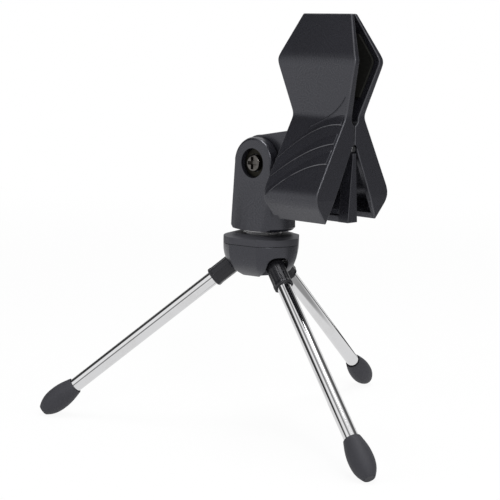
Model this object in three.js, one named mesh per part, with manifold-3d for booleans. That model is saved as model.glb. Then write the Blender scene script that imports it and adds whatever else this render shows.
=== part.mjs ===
// A folding table tripod with a tilting spring-clamp microphone clip.
// Millimetres, +Z up. The origin is on the stand's own axis at table level, and the clip reaches forward along -Y.
// The jaws spread along X, so "left" is -X, seen from the front.
import * as THREE from 'three';
import { mergeVertices } from 'three/addons/utils/BufferGeometryUtils.js';
import Module from 'manifold-3d';

const wasm = await Module();
wasm.setup();

// ---- driving dimensions -------------------------------------------------------------------------------------------

const seatGap = 0.3; // between pieces that rest on or in each other
const runGap = 0.3; // between pieces that turn on each other
const past = 1; // how far a cutting or joining shape runs past a face
const roundSteps = 5; // straight pieces that make up a rounded corner
const degrees = Math.PI / 180;

// legs
const legCount = 3;
const legSlopeDeg = 39.7; // below horizontal, standing
const hubTurnDeg = -20.6; // how far the legs are screwed round from the clip's direction
const legPivotRadius = 9;
const tubeRadius = 2.85;
const tubeWall = 0.5;
const tubeShown = 72.8; // between collar and foot
const collarRadius = 3.85;
const collarSleeve = 3; // where its flutes start, from the pivot
const collarLength = 13.6; // from the pivot to the collar's ring end
const collarFlutes = 10;
const fluteDepth = 0.3;
const collarRing = 1.6; // the plain ring at the collar's open end
const collarRingRise = 0.15;
const tubeInCollar = 8;
const tubeInFoot = 9;
const footLength = 17.1;
const footRadius = 4.8;
const footNeckRadius = 3.4;
const footTipRadius = 2.2; // its blunt end
const footFullness = 2.6; // how far it stays wide before it runs out to that end
const footWidest = 8.3; // along the foot, from its neck
const legPinRadius = 1.1;
const legPinSeat = 1.4; // how deep a leg pin's end lies in the hub

// hub, heights counted from the leg pivots
const hubRadius = 15.7;
const hubFlat = 14.3; // distance of the three flats from the axis
const hubDrop = 6.4; // bottom below the pivots
const hubJoint = 6.3; // joint line of the two shells above the pivots
const hubRim = 9; // where the shoulder starts
const hubTop = 10.3;
const shoulderRadius = 11.3;
const bowlRadius = 3; // where the bowl's elliptical side would meet the floor
const bowlHeight = 13.3;
const bowlFullness = 2.4; // 2 is an ellipse, and more is squarer
const bowlTop = 6.1; // the bowl's side stands upright here
const slotHalfWidth = 4.6;
const slotTop = 2; // the leg slot's ceiling at the outside, above the pivots
const slotCorner = 3.6;
const slotInner = 4.8; // where the slot starts, from the axis
const barrelRoom = 0.6; // round the collar's pivot end

// thread between hub and yoke
const studRadius = 7.7;
const studFlangeRadius = 9.4;
const studFlange = 1.8;
const studReach = 6.9; // above the hub's top
const insertRadius = 8.5;
const insertLength = 5.4;
const headLift = 1.5; // open gap between the hub's top and the yoke

// screw that holds the hub together
const hubScrewRadius = 2;
const hubScrewHeadRadius = 3;
const hubScrewHead = 2.1;
const hubScrewEdge = 0.6;
const hubScrewReach = 16;

// yoke, heights counted from the yoke's bottom
const yokeRadius = 13;
const yokeTopRadius = 11.8; // at the tilt axis
const yokeSideCrown = 2.8; // the sides swell this far past the ears' faces at the base
const yokeSideEnd = 19; // and run out into them at this height
const yokeChamfer = 1.1;
const yokePivot = 26.5;
const earReach = 10.2; // the ears' round top about the tilt axis
const earHalfSpan = 7.2; // outer face of an ear from the mid-plane
const earRound = 1.4; // rounding of the ears' rim
const forkFloor = 15.2;

// tilt screw
const tiltScrewRadius = 2;
const tiltHeadRadius = 3.3;
const tiltHeadFlat = 1.7; // the flat middle of its domed top
const tiltHeadDome = 1.3;
const tiltHead = 2.4;
const counterboreRadius = 5.8;
const counterboreDepth = 2.6;
const nutFlats = 7; // across flats
const nutThickness = 2.4;
const nutPocket = 2.8;

// cross recess of a screw, as shares of its head's radius
const crossReach = 0.66;
const crossWidth = 0.35;
const crossDepth = 0.45;

// clip: heights are counted from the tilt axis, forward distances from the clip's own middle
const clipForward = 32.6; // the clip's middle ahead of the tilt axis
const tongueHalf = 2.4;
const tongueReach = 11; // its round end about the tilt axis
const tongueSlopeDeg = 9.6; // rise of the tongue's top edge towards the clip
const tongueUnder = 3.6; // the tongue's lower edge below the tilt axis
const jawPinHeight = 8.2;
const jawPinRadius = 1.3;
const jawPinSunk = 0.5; // its ends lie this far inside the handles' faces
const knuckleRadius = 3.2;
const knuckleWidth = 2.1;
const webHalf = 2.3; // half-height of the webs between knuckles and handle

// jaw, seen from the front: half-width out from the mid-plane, then height
const jawTop = [1.7, 58.4];
const jawBulge = [8.7, 41.2];
const jawWaist = [5.3, 20.3];
const jawHip = [22.3, -10.2];
const jawFoot = [14.6, -19.3];
const bulgeRound = 12;
const waistRound = 6;
const hipRound = 7;
// jaw, seen from the side: half-depth at the same heights
const topFrontDepth = 11.2;
const topRearDepth = 12.6;
const bulgeDepth = 19.4;
const waistDepth = 13.2;
const hipDepth = 13.4;
const footDepth = 11.6;
const bulgeDepthRound = 4;
const waistDepthRound = 9;
const hipDepthRound = 5;
const jawWall = 2.4;
const bulgeWall = 2.6; // thicker at the bend
const handleWall = 2;
const handleRoomFoot = [15, -16.9]; // the hollow's lowest corner
const seamGap = 0.3; // between the two jaws where they meet
const mouthPoint = 16.7; // the mouth's pointed end
const mouthFoot = 18.2;
const mouthHalf = 1.8; // half-width of the mouth just above it
const handleGapDeg = 25.6; // a handle's inner edge from the mid-plane
const frontGap = 1.3; // those edges pass the pin at this distance, in front
const rearGap = 3.1; // and behind, where the tongue goes through
const tongueGateTop = 15.3;
const gateNotch = 1; // how far it cuts in ahead of the rear walls

// liners inside the jaws
const padThickness = 1.2;
const padTop = 51;
const padFoot = 27.5;
const padInset = 2.4; // from the jaw's front and rear edges

// curved ribs on the handles
const ribCount = 5;
const ribWidth = 0.8;
const ribHeight = 0.3;
const ribTopFront = 16.5; // heights of the first and last rib at the front edge
const ribLastFront = 1.5;
const ribTopRear = 5;
const ribLastRear = -8;
const ribBulge = 2.6;
const ribSteps = 8;

// centre piece below the pin
const spineDrop = 19.5;
const spineHead = 3.6; // its top lies this far below the pin's centre
const postLength = 4.8;
const postTopHalf = 1;
const postFootHalf = 2.8;
const spineBar = 2.4;
const spineHeadBar = 4.2;
const rearPostFront = -4; // the window's rear edge
const spineHeel = 26.8; // the lower part starts this far ahead of the tilt axis
const heelHeight = 4;

// torsion spring round the jaw pin
const springWire = 0.55;
const springTurns = 3;
const springPitch = 1.75;
const springRadius = 2.35;
const springStepsPerTurn = 8;
const springSides = 5;
const springLegReach = 15.4; // where a leg ends, from the mid-plane
const springLegDrop = 12.8;

// ---- worked out from them -----------------------------------------------------------------------------------------

const slope = legSlopeDeg * degrees;
const footStart = collarLength + tubeShown;
const footSteps = 11;
const footOutline = Array.from({ length: footSteps + 1 }, (_, i) => {
  const along = (footLength * (1 - Math.cos((Math.PI * i) / footSteps))) / 2;
  if (along < footWidest) {
    return [footNeckRadius + (footRadius - footNeckRadius) * Math.sin((Math.PI / 2) * (along / footWidest)), along];
  }
  const run = (along - footWidest) / (footLength - footWidest);
  return [footRadius - (footRadius - footTipRadius) * run ** footFullness, along];
});
// the lowest point of a foot, below the leg's pivot
const pivotHeight = Math.max(
  ...footOutline.map(([radius, along]) => (footStart + along) * Math.sin(slope) + radius * Math.cos(slope)),
);
const hubTopHeight = pivotHeight + hubTop;
const yokeBottom = hubTopHeight + headLift;
const tiltHeight = yokeBottom + yokePivot;
const forkHalf = tongueHalf + runGap;
const clipReach = 3 * bulgeDepth; // a length past every piece of the clip

// ---- shape helpers ------------------------------------------------------------------------------------------------

function solid(geometry) {
  const bare = geometry.clone();
  bare.deleteAttribute('normal');
  bare.deleteAttribute('uv');
  const merged = mergeVertices(bare, 1e-5);
  return new wasm.Manifold(new wasm.Mesh({
    numProp: 3,
    vertProperties: new Float32Array(merged.attributes.position.array),
    triVerts: new Uint32Array(merged.index.array),
  }));
}

function geometryOf(body) {
  const mesh = body.getMesh();
  const geometry = new THREE.BufferGeometry();
  geometry.setAttribute('position', new THREE.BufferAttribute(new Float32Array(mesh.vertProperties), 3));
  geometry.setIndex(new THREE.BufferAttribute(new Uint32Array(mesh.triVerts), 1));
  const flat = geometry.toNonIndexed();
  flat.computeVertexNormals();
  return flat;
}

function cut(body, ...tools) {
  return tools.reduce((rest, tool) => rest.subtract(tool), body);
}

function join(body, ...others) {
  return others.reduce((sum, other) => sum.add(other), body);
}

function outline(points) {
  return new THREE.Shape(points.map(([x, y]) => new THREE.Vector2(x, y)));
}

function extruded(shape, length, options = {}) {
  return new THREE.ExtrudeGeometry(shape, { depth: length, bevelEnabled: false, curveSegments: 12, ...options });
}

const frontView = new THREE.Matrix4().makeBasis(
  new THREE.Vector3(1, 0, 0),
  new THREE.Vector3(0, 0, 1),
  new THREE.Vector3(0, -1, 0),
);
const sideView = new THREE.Matrix4().makeBasis(
  new THREE.Vector3(0, -1, 0),
  new THREE.Vector3(0, 0, 1),
  new THREE.Vector3(-1, 0, 0),
);

// a shape drawn in (x, height), reaching forward from one distance to another
function fromFront(shape, from, to, options) {
  return extruded(shape, to - from, options).translate(0, 0, from).applyMatrix4(frontView);
}

// a shape drawn in (forward, height), reaching to both sides of the mid-plane
function fromSide(shape, half, options) {
  return extruded(shape, 2 * half, options).translate(0, 0, -half).applyMatrix4(sideView);
}

// a profile of [radius, height] pairs turned about Z
function turned(profile, segments = 48) {
  const points = profile.map(([radius, height]) => new THREE.Vector2(radius, height));
  return new THREE.LatheGeometry(points, segments).rotateX(Math.PI / 2);
}

function rodZ(radius, from, to, segments = 24) {
  return turned([[0, from], [radius, from], [radius, to], [0, to]], segments);
}

function rodX(radius, from, to, segments = 24) {
  return rodZ(radius, from, to, segments).rotateY(Math.PI / 2);
}

// from and to are distances forward, along -Y
function rodForward(radius, from, to, segments = 24) {
  return rodZ(radius, from, to, segments).rotateX(Math.PI / 2);
}

function box(x0, x1, y0, y1, z0, z1) {
  return new THREE.BoxGeometry(x1 - x0, y1 - y0, z1 - z0)
    .translate((x0 + x1) / 2, (y0 + y1) / 2, (z0 + z1) / 2);
}

// rings of points with equal counts, joined and closed at both ends
function loft(rings) {
  const count = rings[0].length;
  const centres = [rings[0], rings[rings.length - 1]].map((ring) => {
    const sum = ring.reduce((total, point) => total.add(point), new THREE.Vector3());
    return sum.divideScalar(count);
  });
  const points = [...rings.flat(), ...centres];
  const index = [];
  rings.slice(1).forEach((_, level) => {
    for (let i = 0; i < count; i++) {
      const a = level * count + i;
      const b = level * count + ((i + 1) % count);
      index.push(a, b, b + count, a, b + count, a + count);
    }
  });
  const top = (rings.length - 1) * count;
  for (let i = 0; i < count; i++) {
    const next = (i + 1) % count;
    index.push(points.length - 2, next, i);
    index.push(points.length - 1, top + i, top + next);
  }
  const geometry = new THREE.BufferGeometry().setFromPoints(points);
  geometry.setIndex(index);
  return geometry;
}

// an open run of corners, each with its own rounding, as a list of points
function rounded(corners) {
  const at = (i) => new THREE.Vector2(corners[i][0], corners[i][1]);
  return corners.flatMap(([x, y, radius = 0], i) => {
    if (!radius || i === 0 || i === corners.length - 1) {
      return [[x, y]];
    }
    const corner = at(i);
    const back = at(i - 1).sub(corner).normalize();
    const ahead = at(i + 1).sub(corner).normalize();
    const half = Math.acos(THREE.MathUtils.clamp(back.dot(ahead), -1, 1)) / 2;
    const reach = radius / Math.tan(half);
    const start = corner.clone().addScaledVector(back, reach);
    const end = corner.clone().addScaledVector(ahead, reach);
    const curve = new THREE.QuadraticBezierCurve(start, corner, end);
    return curve.getPoints(roundSteps).map((point) => [point.x, point.y]);
  });
}

function crossRecess(headRadius) {
  // in a head whose top is at z = 0
  const reach = crossReach * headRadius;
  const half = (crossWidth * headRadius) / 2;
  const depth = crossDepth * headRadius;
  return join(
    solid(box(-reach, reach, -half, half, -depth, past)),
    solid(box(-half, half, -reach, reach, -depth, past)),
  );
}

// ---- materials ----------------------------------------------------------------------------------------------------

function finish(color, roughness, metalness = 0) {
  return new THREE.MeshStandardMaterial({ color, roughness, metalness });
}

const blackPlastic = finish(0x3a3a3e, 0.5);
const glossBlack = finish(0x1c1c1f, 0.28);
const rubber = finish(0x34353a, 0.8);
const padRubber = finish(0x202023, 0.7);
const chrome = finish(0xd8dadd, 0.12, 1);
const steel = finish(0x9a9c9f, 0.3, 1);
const blackSteel = finish(0x3c3b3a, 0.35, 0.8);

function node(name, geometry, material) {
  const mesh = new THREE.Mesh(geometry, material);
  mesh.name = name;
  return mesh;
}

// ---- hub ----------------------------------------------------------------------------------------------------------

function eachLeg(make) {
  return Array.from({ length: legCount }, (_, i) => make(-90 + (360 / legCount) * i, i + 1));
}

// the hub's outline at one height: round, with a flat between each two legs, fading to a plain circle
function hubSection(radius, height, flatness = 1) {
  const flatHalf = Math.acos(hubFlat / hubRadius);
  const arcHalf = Math.PI / legCount - flatHalf;
  const steps = 9;
  return eachLeg((angle) => Array.from({ length: steps + 1 }, (_, i) => {
    const offset = arcHalf * ((2 * i) / steps - 1);
    // without its flat, a section has its points spread evenly round the circle
    const even = (Math.PI / legCount) * ((2 * i) / steps - 1) * (steps / (steps + 1));
    const at = angle * degrees + THREE.MathUtils.lerp(even, offset, flatness);
    return new THREE.Vector3(radius * Math.cos(at), radius * Math.sin(at), height);
  })).flat();
}

// room for one leg: its slot, the pocket round its pivot end and the two channels for its pin
function legRoom(angle) {
  const far = 2 * hubRadius;
  const side = slotHalfWidth;
  const slotShape = outline(rounded([
    [-side, -far],
    [-side, slotTop, slotCorner],
    [side, slotTop, slotCorner],
    [side, -far],
  ]));
  const slot = extruded(slotShape, far - slotInner);
  // the shape's height stays up, and its run becomes the way out from the axis
  slot.applyMatrix4(new THREE.Matrix4().makeBasis(
    new THREE.Vector3(0, 1, 0),
    new THREE.Vector3(0, 0, 1),
    new THREE.Vector3(1, 0, 0),
  )).translate(slotInner, 0, 0);
  const pocket = rodForward(collarRadius + barrelRoom, -side, side, 32).translate(legPivotRadius, 0, 0);
  const channelHalf = legPinRadius + seatGap;
  const channelEnd = side + legPinSeat + seatGap;
  const groove = rodForward(channelHalf, -channelEnd, channelEnd, 16).translate(legPivotRadius, 0, 0);
  const channel = box(
    legPivotRadius - channelHalf, legPivotRadius + channelHalf, -channelEnd, channelEnd, 0, hubJoint + past,
  );
  // between the channels the slot's ceiling stays, so each channel is cut on its own side
  const middle = solid(box(-far, far, -side, side, slotTop, far));
  const channels = cut(solid(channel), middle);
  return join(solid(slot), solid(pocket), solid(groove), channels).rotate([0, 0, angle]);
}

function hubBody() {
  const steps = 5;
  const sections = Array.from({ length: steps + 1 }, (_, i) => {
    const height = -hubDrop + ((bowlTop + hubDrop) * i) / steps;
    const down = (bowlTop - height) / bowlHeight;
    const share = (1 - down ** bowlFullness) ** (1 / bowlFullness);
    return hubSection(bowlRadius + (hubRadius - bowlRadius) * share, height);
  });
  const body = solid(loft([...sections, hubSection(hubRadius, hubJoint)]));
  const screwRoom = solid(rodZ(hubScrewRadius + seatGap, -hubDrop - past, hubJoint + past, 20));
  const headRoom = solid(rodZ(hubScrewHeadRadius + seatGap, -hubDrop - past, -hubDrop + hubScrewHead + seatGap));
  return geometryOf(cut(body, ...eachLeg(legRoom), screwRoom, headRoom));
}

function hubCap() {
  const foot = hubJoint + seatGap / 3;
  const flangeRoom = hubJoint + studFlange + 2 * seatGap;
  const shell = solid(loft([
    hubSection(hubRadius, foot),
    hubSection(hubRadius, hubRim),
    hubSection(shoulderRadius, hubTop, 0),
  ]));
  // a key above each end of each leg pin keeps the pin down in its channel
  const keyHalf = legPinRadius + seatGap / 2;
  const keyStart = slotHalfWidth + seatGap / 2;
  const keys = eachLeg((angle) => [-1, 1].map((sign) => {
    const ends = [sign * keyStart, sign * (keyStart + legPinSeat)].sort((a, b) => a - b);
    const key = box(
      legPivotRadius - keyHalf, legPivotRadius + keyHalf, ...ends, legPinRadius + seatGap, foot + past,
    );
    return solid(key).rotate([0, 0, angle]);
  })).flat();
  return geometryOf(cut(
    join(shell, ...keys),
    solid(rodZ(studFlangeRadius + seatGap, foot - past, flangeRoom, 36)),
    solid(rodZ(studRadius + seatGap, foot - past, hubTop + past, 36)),
  ));
}

function threadedStud() {
  const foot = hubJoint + seatGap;
  const flangeTop = foot + studFlange;
  const top = hubTop + studReach;
  const chamfer = 1;
  const boreRadius = hubScrewRadius + seatGap;
  const boreTop = -hubDrop + hubScrewHead + hubScrewReach + 2 * seatGap;
  return turned([
    [0, boreTop],
    [boreRadius, boreTop],
    [boreRadius, foot],
    [studFlangeRadius, foot],
    [studFlangeRadius, flangeTop],
    [studRadius, flangeTop],
    [studRadius, top - chamfer],
    [studRadius - chamfer, top],
    [0, top],
  ], 32);
}

function hubScrew() {
  const headTop = -hubDrop + seatGap;
  const under = headTop + hubScrewHead - seatGap;
  const screw = solid(turned([
    [0, headTop],
    [hubScrewHeadRadius - hubScrewEdge, headTop],
    [hubScrewHeadRadius, headTop + hubScrewEdge],
    [hubScrewHeadRadius, under],
    [hubScrewRadius, under],
    [hubScrewRadius, under + hubScrewReach],
    [0, under + hubScrewReach],
  ], 20));
  const recess = crossRecess(hubScrewHeadRadius).rotate([180, 0, 0]).translate([0, 0, headTop]);
  return geometryOf(cut(screw, recess));
}

// ---- legs, built along +X from the pivot ----------------------------------------------------------------------------

function legCollar() {
  const turns = 4 * collarFlutes;
  const fluted = outline(Array.from({ length: turns }, (_, i) => {
    const angle = (2 * Math.PI * i) / turns;
    const radius = collarRadius - fluteDepth * (0.5 - 0.5 * Math.cos(collarFlutes * angle));
    return [radius * Math.cos(angle), radius * Math.sin(angle)];
  }));
  const sleeve = extruded(fluted, collarLength - collarSleeve).rotateY(Math.PI / 2).translate(collarSleeve, 0, 0);
  const plain = collarRadius - fluteDepth;
  const steps = 5;
  const arc = Array.from({ length: steps + 1 }, (_, i) => {
    const angle = (Math.PI / 2) * (i / steps);
    return [plain * Math.sin(angle), -plain * Math.cos(angle)];
  });
  const end = turned([...arc, [plain, collarSleeve + past], [0, collarSleeve + past]], 20).rotateY(Math.PI / 2);
  const ring = rodX(collarRadius + collarRingRise, collarLength - collarRing, collarLength);
  const boreStart = collarLength - tubeInCollar - seatGap;
  return geometryOf(cut(
    join(solid(sleeve), solid(end), solid(ring)),
    solid(rodX(tubeRadius + seatGap / 2, boreStart, collarLength + past)),
    solid(rodForward(legPinRadius + runGap, -2 * collarRadius, 2 * collarRadius, 16)),
  ));
}

function legTube() {
  const start = collarLength - tubeInCollar;
  const end = footStart + tubeInFoot;
  const inner = tubeRadius - tubeWall;
  return turned([[inner, start], [tubeRadius, start], [tubeRadius, end], [inner, end], [inner, start]], 20)
    .rotateY(Math.PI / 2);
}

function legFoot() {
  const bore = tubeRadius + seatGap / 2;
  const boreEnd = tubeInFoot + seatGap;
  const profile = [[0, boreEnd], [bore, boreEnd], [bore, 0], ...footOutline, [0, footLength]];
  return turned(profile, 20).rotateY(Math.PI / 2).translate(footStart, 0, 0);
}

function legPin() {
  const half = slotHalfWidth + legPinSeat;
  return rodForward(legPinRadius, -half, half, 16);
}

// ---- yoke, built with the tilt axis along X at its own origin -------------------------------------------------------

function yokeSides() {
  // the yoke's two sides, crowned at the base and flat where they become the ears' faces
  const steps = 8;
  const side = (height) => Array.from({ length: steps + 1 }, (_, i) => {
    const across = (2 * i) / steps - 1;
    const crown = yokeSideCrown * Math.max(0, 1 - height / yokeSideEnd);
    const corner = Math.sqrt(yokeRadius ** 2 - earHalfSpan ** 2);
    const y = across * (yokeRadius + past);
    return new THREE.Vector3(earHalfSpan + crown * (1 - (y / corner) ** 2), y, height - yokePivot);
  });
  const opposite = (point) => new THREE.Vector3(-point.x, -point.y, point.z);
  const rings = [-past, yokeSideEnd, 2 * yokePivot].map((height) => {
    const right = side(height);
    return [...right, ...right.map(opposite)];
  });
  return solid(loft(rings));
}

function yokeArch() {
  // the ears' round top with its rounded rim, on a block that leaves the base as it is
  const reach = earReach - earRound;
  const foot = yokeSideEnd - yokePivot;
  const arch = new THREE.Shape();
  arch.moveTo(-yokeRadius, 2 * foot);
  arch.lineTo(yokeRadius, 2 * foot);
  arch.lineTo(yokeRadius, foot);
  arch.lineTo(reach, 0);
  arch.absarc(0, 0, reach, 0, Math.PI, false);
  arch.lineTo(-yokeRadius, foot);
  arch.closePath();
  const far = 2 * yokeRadius;
  const block = solid(box(-far, far, -far, far, -2 * yokePivot, foot));
  const rim = {
    bevelEnabled: true,
    bevelSize: earRound,
    bevelThickness: earRound,
    bevelSegments: 2,
    curveSegments: 18,
  };
  return join(solid(fromSide(arch, earHalfSpan - earRound, rim)), block);
}

function yoke() {
  const blank = solid(turned([
    [0, -yokePivot],
    [yokeRadius - yokeChamfer, -yokePivot],
    [yokeRadius, -yokePivot + yokeChamfer],
    [yokeTopRadius, 0],
    [yokeTopRadius, 2 * earReach],
    [0, 2 * earReach],
  ], 52));
  const body = blank.intersect(yokeSides()).intersect(yokeArch());
  const far = 3 * yokeRadius;
  const fork = solid(box(-forkHalf, forkHalf, -far, far, -yokePivot + forkFloor, far));
  const insertRoom = solid(rodZ(
    insertRadius + seatGap / 2, -yokePivot - past, -yokePivot + insertLength + 2 * seatGap, 32,
  ));
  const screwRoom = solid(rodX(tiltScrewRadius + seatGap, -far, far));
  const counterbore = solid(rodX(counterboreRadius, -far, -earHalfSpan + counterboreDepth, 32));
  const nutRoom = solid(hexagon(nutFlats + 2 * seatGap, yokeRadius).rotateY(Math.PI / 2)
    .translate(earHalfSpan - nutPocket, 0, 0));
  return geometryOf(cut(body, fork, insertRoom, screwRoom, counterbore, nutRoom));
}

// a six-sided prism, given its width across flats
function hexagon(flats, length) {
  const corner = flats / Math.sqrt(3);
  const points = Array.from({ length: 6 }, (_, i) => {
    const angle = (Math.PI / 3) * i;
    return [corner * Math.cos(angle), corner * Math.sin(angle)];
  });
  return extruded(outline(points), length);
}

function yokeInsert() {
  const foot = -yokePivot + seatGap / 2;
  const top = foot + insertLength;
  const inner = studRadius + runGap;
  return turned([[inner, foot], [insertRadius, foot], [insertRadius, top], [inner, top], [inner, foot]], 32);
}

function tiltScrew() {
  const under = -earHalfSpan + counterboreDepth - seatGap / 3;
  const top = under - tiltHead;
  const end = earHalfSpan - nutPocket + seatGap + nutThickness;
  const steps = 4;
  const dome = Array.from({ length: steps + 1 }, (_, i) => {
    const angle = (Math.PI / 2) * (i / steps);
    const out = tiltHeadFlat + (tiltHeadRadius - tiltHeadFlat) * Math.sin(angle);
    return [out, top + tiltHeadDome * (1 - Math.cos(angle))];
  });
  const screw = solid(turned([
    [0, top],
    ...dome,
    [tiltHeadRadius, under],
    [tiltScrewRadius, under],
    [tiltScrewRadius, end],
    [0, end],
  ], 28));
  const recess = crossRecess(tiltHeadRadius).rotate([180, 0, 0]).translate([0, 0, top]);
  return geometryOf(cut(screw, recess)).rotateY(Math.PI / 2);
}

function tiltNut() {
  const bored = cut(
    solid(hexagon(nutFlats, nutThickness)),
    solid(rodZ(tiltScrewRadius + seatGap / 3, -past, nutThickness + past)),
  );
  return geometryOf(bored).rotateY(Math.PI / 2).translate(earHalfSpan - nutPocket + seatGap, 0, 0);
}

// ---- clip, built with its middle ahead of the tilt axis and heights from that axis ----------------------------------

const bodyFront = hipDepth; // the handles' front face
const wallBack = bodyFront - handleWall; // inside face of the front wall
// along the pin, from the middle: the spring, then a knuckle of the spine, of the right jaw and of the left jaw
const spineKnuckle = [4.1, 4.1 + knuckleWidth];
const rightKnuckle = spineKnuckle.map((at) => at + knuckleWidth + runGap);
const leftKnuckle = rightKnuckle.map((at) => at + knuckleWidth + runGap);

function handleEdge(gap, height) {
  // distance of a handle's inner edge from the mid-plane
  const angle = handleGapDeg * degrees;
  return gap / Math.cos(angle) + (jawPinHeight - height) * Math.tan(angle);
}

function jawSideOutline(inset = 0) {
  const half = (topDepth) => rounded([
    [footDepth - inset, jawFoot[1] - past],
    [hipDepth - inset, jawHip[1], hipDepthRound],
    [waistDepth - inset, jawWaist[1], waistDepthRound],
    [bulgeDepth - inset, jawBulge[1], bulgeDepthRound],
    [topDepth - inset, jawTop[1]],
    [topDepth - inset, jawTop[1] + past],
  ]);
  const rear = half(topRearDepth).map(([depth, height]) => [-depth, height]);
  return outline([...half(topFrontDepth), ...rear.reverse()]);
}

// the jaw's inner surface from the mouth's foot up to the top
const mouthLine = [
  [mouthHalf, mouthFoot + mouthHalf],
  [jawBulge[0] - bulgeWall, jawBulge[1], bulgeRound - jawWall],
  [seamGap / 2, jawTop[1]],
];

function jawOuterLine() {
  return rounded([
    jawTop,
    [...jawBulge, bulgeRound],
    [...jawWaist, waistRound],
    [...jawHip, hipRound],
    jawFoot,
  ]);
}

function mirrored(points, sign) {
  return points.map(([x, y]) => [sign * x, y]);
}

function jawBlank(sign) {
  // sign is -1 for the left jaw and 1 for the right one
  const seam = seamGap / 2;
  const footTop = jawFoot[1] + handleWall;
  const edge = [
    [handleEdge(frontGap, footTop), footTop],
    [handleEdge(frontGap, jawPinHeight), jawPinHeight],
    [seam, jawPinHeight + frontGap],
    [seam, mouthPoint],
    [mouthHalf, mouthFoot],
  ];
  const blank = outline(mirrored([...jawOuterLine(), ...edge, ...rounded(mouthLine)], sign));
  const depth = 2 * bulgeDepth;
  return solid(fromFront(blank, -depth, depth)).intersect(solid(fromSide(jawSideOutline(), 2 * jawHip[0])));
}

function handleInside(height) {
  // distance of the inside of a handle's outer wall from the mid-plane
  const rise = (jawHip[0] - jawWaist[0]) / (jawWaist[1] - jawHip[1]);
  return jawWaist[0] + (jawWaist[1] - height) * rise - handleWall * Math.hypot(1, rise);
}

function handleRoom(sign) {
  // hollow behind the handle's outer wall, between its front and rear walls
  const roof = jawPinHeight + knuckleRadius + 2 * runGap;
  const room = outline(mirrored([
    [-2 * knuckleRadius, roof],
    ...rounded([
      [handleInside(roof), roof],
      [handleInside(jawHip[1]), jawHip[1], hipRound - handleWall],
      handleRoomFoot,
    ]),
    [-2 * knuckleRadius, handleRoomFoot[1]],
  ], sign));
  return solid(fromFront(room, -wallBack, wallBack));
}

function rearGate(sign) {
  // the rear walls leave room for the tongue and meet above it
  const far = 2 * bulgeDepth;
  const gate = outline(mirrored([
    [-rearGap, tongueGateTop],
    [rearGap, tongueGateTop],
    [rearGap, jawPinHeight],
    [handleEdge(rearGap, jawFoot[1] - past), jawFoot[1] - past],
    [-rearGap, jawFoot[1] - past],
  ], sign));
  return solid(fromFront(gate, -far, -wallBack + gateNotch));
}

function jawKnuckles(sign, span) {
  const foot = jawPinHeight - webHalf;
  const top = jawPinHeight + webHalf;
  const web = outline(mirrored([
    [0, foot],
    [handleInside(foot) + handleWall / 2, foot],
    [handleInside(top) + handleWall / 2, top],
    [0, top],
  ], sign));
  return [span, span.map((at) => -at).reverse()].flatMap(([from, to]) => [
    solid(fromFront(web, from, to)),
    solid(rodForward(knuckleRadius, from, to, 20).translate(0, 0, jawPinHeight)),
  ]);
}

function pinRoom(radius) {
  const far = clipReach;
  return solid(rodForward(radius, -far, far, 20).translate(0, 0, jawPinHeight));
}

function gripRibs(sign) {
  // arcs across the flat of the handle, in (forward, along the slope) of its outer face
  const lean = Math.atan2(jawHip[0] - jawWaist[0], jawWaist[1] - jawHip[1]);
  const along = (height) => (jawWaist[1] - height) / Math.cos(lean);
  const onFace = new THREE.Matrix4().makeBasis(
    new THREE.Vector3(0, -1, 0),
    new THREE.Vector3(sign * Math.sin(lean), 0, -Math.cos(lean)),
    new THREE.Vector3(sign * Math.cos(lean), 0, Math.sin(lean)),
  );
  onFace.setPosition(sign * jawWaist[0], 0, jawWaist[1]);
  const depth = handleWall / 2;
  return Array.from({ length: ribCount }, (_, i) => {
    const part = i / (ribCount - 1);
    const front = along(THREE.MathUtils.lerp(ribTopFront, ribLastFront, part));
    const rear = along(THREE.MathUtils.lerp(ribTopRear, ribLastRear, part));
    const reach = waistDepth + past;
    const curve = new THREE.QuadraticBezierCurve(
      new THREE.Vector2(reach, front),
      new THREE.Vector2(0, (front + rear) / 2 - 2 * ribBulge),
      new THREE.Vector2(-reach, rear),
    );
    const points = curve.getPoints(ribSteps);
    const edge = (side) => points.map((point, k) => {
      const tangent = curve.getTangent(k / ribSteps);
      const half = (side * ribWidth) / 2;
      return [point.x - tangent.y * half, point.y + tangent.x * half];
    });
    const band = extruded(outline([...edge(1), ...edge(-1).reverse()]), depth + ribHeight);
    const placed = band.translate(0, 0, -depth).applyMatrix4(onFace);
    return solid(onFace.determinant() < 0 ? turnedInsideOut(placed) : placed);
  });
}

// the same surface with each triangle facing the other way, as a mirrored copy needs
function turnedInsideOut(geometry) {
  const merged = mergeVertices(geometry, 1e-5);
  merged.setIndex(Array.from(merged.index.array).reverse());
  return merged;
}

function jaw(sign, span) {
  const shell = cut(jawBlank(sign), handleRoom(sign), rearGate(sign));
  const ribs = gripRibs(sign).map((rib) => rib.intersect(solid(fromSide(jawSideOutline(), 2 * jawHip[0]))));
  const joined = join(shell, ...jawKnuckles(sign, span), ...ribs);
  return geometryOf(cut(joined, pinRoom(jawPinRadius + runGap)));
}

function jawPad(sign) {
  // a bent strip lying on the jaw's inner surface
  const line = mouthLine;
  const between = ([x0, y0], [x1, y1], height) => x0 + ((x1 - x0) * (height - y0)) / (y1 - y0);
  const strip = (inset) => rounded([
    [between(line[0], line[1], padFoot) - inset, padFoot],
    [line[1][0] - inset, line[1][1], bulgeRound - jawWall - inset],
    [between(line[1], line[2], padTop) - inset, padTop],
  ]);
  const seat = seatGap / 2;
  const points = [...strip(seat), ...strip(seat + padThickness).reverse()];
  const depth = 2 * bulgeDepth;
  return geometryOf(
    solid(fromFront(outline(mirrored(points, sign)), -depth, depth))
      .intersect(solid(fromSide(jawSideOutline(padInset), 2 * jawHip[0]))),
  );
}

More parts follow.
